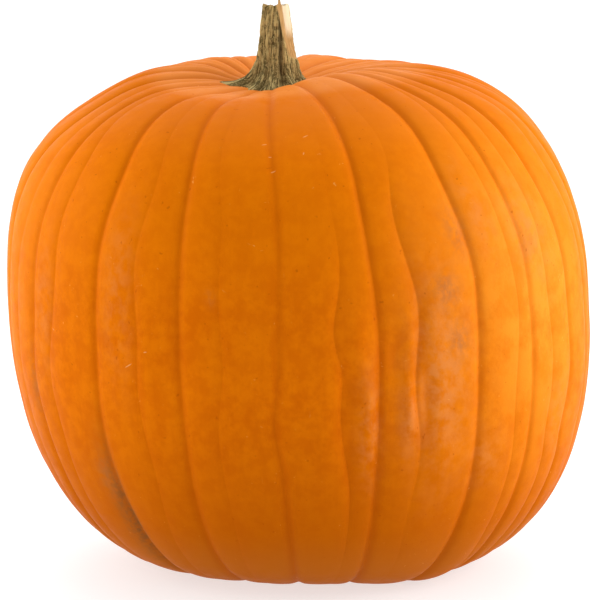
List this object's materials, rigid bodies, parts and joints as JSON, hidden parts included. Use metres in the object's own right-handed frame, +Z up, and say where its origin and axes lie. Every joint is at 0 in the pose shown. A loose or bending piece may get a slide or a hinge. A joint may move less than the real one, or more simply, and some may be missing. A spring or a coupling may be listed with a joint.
{
  "type": "pumpkin",
  "caption": "Large round ribbed orange pumpkin, slightly wider than tall, with a short woody broken stalk in its crown hollow and a flattened underside to stand on.",
  "frame": {"origin": "centre of the bounding box's bottom, on the surface that the underside stands on", "axes": "+Z up along the stalk, -Y towards the front, which is the side that the picture shows, +X to the right of that view"},
  "size_m": [0.3286, 0.3276, 0.3199],
  "materials": {
    "rind": "satin",
    "stalk": "matte"
  },
  "bodies": {
    "root": {"fruit": "rind", "stem": "stalk"}
  },
  "joints": []
}
